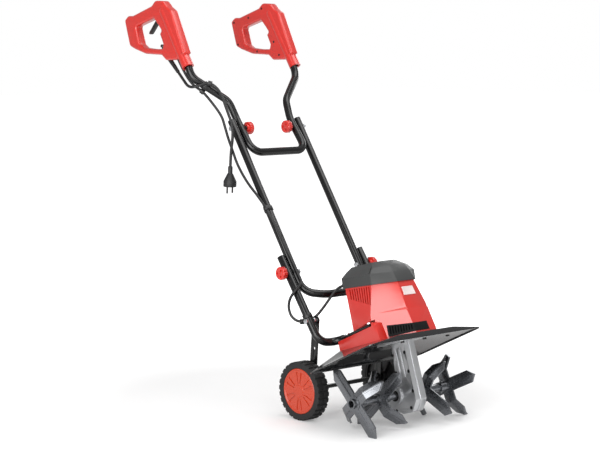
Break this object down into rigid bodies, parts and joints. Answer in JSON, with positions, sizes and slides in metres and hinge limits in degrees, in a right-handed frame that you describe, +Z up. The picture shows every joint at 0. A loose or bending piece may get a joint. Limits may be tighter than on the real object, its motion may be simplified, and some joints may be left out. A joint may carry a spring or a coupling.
{
  "type": "garden tiller",
  "caption": "Electric garden tiller: leaning motor unit over a spinning tine shaft, wide deck, rear transport wheels, folding tube handlebar with two loop grips and a plug lead.",
  "frame": {"origin": "on the ground under the middle of the machine, at the bottom centre of its box without the plug lead", "axes": "+Z up, -Y forward (the motor and tines are in front, the grips behind), +X across the machine"},
  "size_m": [0.44, 1.0316, 1.1362],
  "materials": {
    "red_plastic": "satin",
    "grey_plastic": "satin",
    "black_plastic": "satin",
    "black_paint": "gloss",
    "tine_steel": "gloss",
    "case_alloy": "cast",
    "bright_steel": "zinc",
    "bronze": "machined",
    "black_rubber": "matte",
    "tyre": "matte"
  },
  "bodies": {
    "motor_unit": {"gear_case_left": "case_alloy", "gear_case_right": "case_alloy", "case_bolts": "bright_steel", "bearings": "bright_steel", "shaft_seals": "black_rubber", "motor_stator": "bright_steel", "motor_frame": "bright_steel", "motor_base": "red_plastic", "motor_hood": "red_plastic", "top_cover": "grey_plastic", "intake_grille": "black_plastic", "deck": "black_paint", "lower_bar_left": "black_paint", "lower_bar_right": "black_paint", "frame_bolts": "bright_steel", "struts": "black_paint", "wheel_axle": "bright_steel", "lower_pivot_bolts": "bright_steel", "lower_spacers": "black_plastic", "motor_cable_lower": "black_rubber", "lower_cable_clip": "black_plastic", "cable_gland": "black_rubber"},
    "tine_set": {"tine_shaft": "bright_steel", "worm_wheel": "bronze", "inner_tines_left": "tine_steel", "outer_tines_left": "tine_steel", "inner_tines_right": "tine_steel", "outer_tines_right": "tine_steel", "tine_pins": "bright_steel"},
    "motor_rotor": {"armature": "bright_steel", "motor_fan": "black_plastic"},
    "left_wheel": {"tyre_left": "tyre", "wheel_rim_left": "black_plastic", "hub_cap_left": "red_plastic"},
    "right_wheel": {"tyre_right": "tyre", "wheel_rim_right": "black_plastic", "hub_cap_right": "red_plastic"},
    "middle_handlebar": {"mid_bar": "black_paint", "upper_spacers": "black_plastic", "upper_pivot_bolts": "bright_steel", "motor_cable_middle": "black_rubber", "middle_cable_clip": "black_plastic"},
    "upper_handlebar": {"upper_bar": "black_paint", "left_grip_outer": "red_plastic", "left_grip_inner": "red_plastic", "right_grip_outer": "red_plastic", "right_grip_inner": "red_plastic", "grip_screws": "bright_steel", "power_switch": "black_plastic", "strain_relief": "black_rubber", "motor_cable_upper": "black_rubber", "upper_cable_clip": "black_plastic", "mains_lead": "black_rubber", "plug": "black_rubber"},
    "lower_knob_left": {"lower_knob_left": "red_plastic"},
    "lower_knob_right": {"lower_knob_right": "red_plastic"},
    "upper_knob_left": {"upper_knob_left": "red_plastic"},
    "upper_knob_right": {"upper_knob_right": "red_plastic"},
    "start_lever": {"trigger_lever": "black_plastic"},
    "safety_button": {"lock_button": "black_plastic"}
  },
  "joints": [
    {"name": "tine_spin", "type": "hinge", "parent": "motor_unit", "child": "tine_set", "pos_m": [0, -0.4136, 0.08], "axis": [1, 0, 0], "continuous": true},
    {"name": "rotor_spin", "type": "hinge", "parent": "motor_unit", "child": "motor_rotor", "pos_m": [0, -0.4564, 0.09391], "axis": [0, 0.309, 0.9511], "continuous": true},
    {"name": "left_wheel_spin", "type": "hinge", "parent": "motor_unit", "child": "left_wheel", "pos_m": [-0.156, -0.1966, 0.08], "axis": [1, 0, 0], "continuous": true},
    {"name": "right_wheel_spin", "type": "hinge", "parent": "motor_unit", "child": "right_wheel", "pos_m": [0.156, -0.1966, 0.08], "axis": [1, 0, 0], "continuous": true},
    {"name": "lower_fold", "type": "hinge", "parent": "motor_unit", "child": "middle_handlebar", "pos_m": [0, -0.1236, 0.393], "axis": [1, 0, 0], "range_deg": [0, 75]},
    {"name": "upper_fold", "type": "hinge", "parent": "middle_handlebar", "child": "upper_handlebar", "pos_m": [0, 0.1274, 0.775], "axis": [1, 0, 0], "range_deg": [0, 120]},
    {"name": "lower_knob_left_turn", "type": "hinge", "parent": "motor_unit", "child": "lower_knob_left", "pos_m": [-0.168, -0.1236, 0.393], "axis": [1, 0, 0], "continuous": true},
    {"name": "lower_knob_right_turn", "type": "hinge", "parent": "motor_unit", "child": "lower_knob_right", "pos_m": [0.168, -0.1236, 0.393], "axis": [1, 0, 0], "continuous": true},
    {"name": "upper_knob_left_turn", "type": "hinge", "parent": "middle_handlebar", "child": "upper_knob_left", "pos_m": [-0.079, 0.1274, 0.775], "axis": [1, 0, 0], "continuous": true},
    {"name": "upper_knob_right_turn", "type": "hinge", "parent": "middle_handlebar", "child": "upper_knob_right", "pos_m": [0.079, 0.1274, 0.775], "axis": [1, 0, 0], "continuous": true},
    {"name": "lever_squeeze", "type": "hinge", "parent": "upper_handlebar", "child": "start_lever", "pos_m": [-0.203, 0.3624, 1.088], "axis": [1, 0, 0], "range_deg": [0, 16], "stiffness_Nm_per_rad": 0.6, "springref_deg": -8.59},
    {"name": "button_press", "type": "slide", "parent": "upper_handlebar", "child": "safety_button", "axis": [0, 0, 1], "range_m": [-0.003, 0], "stiffness_N_per_m": 300, "springref_m": 0.0015}
  ],
  "couplings": [
    {"joint": "rotor_spin", "follows": "tine_spin", "ratio": 36}
  ]
}
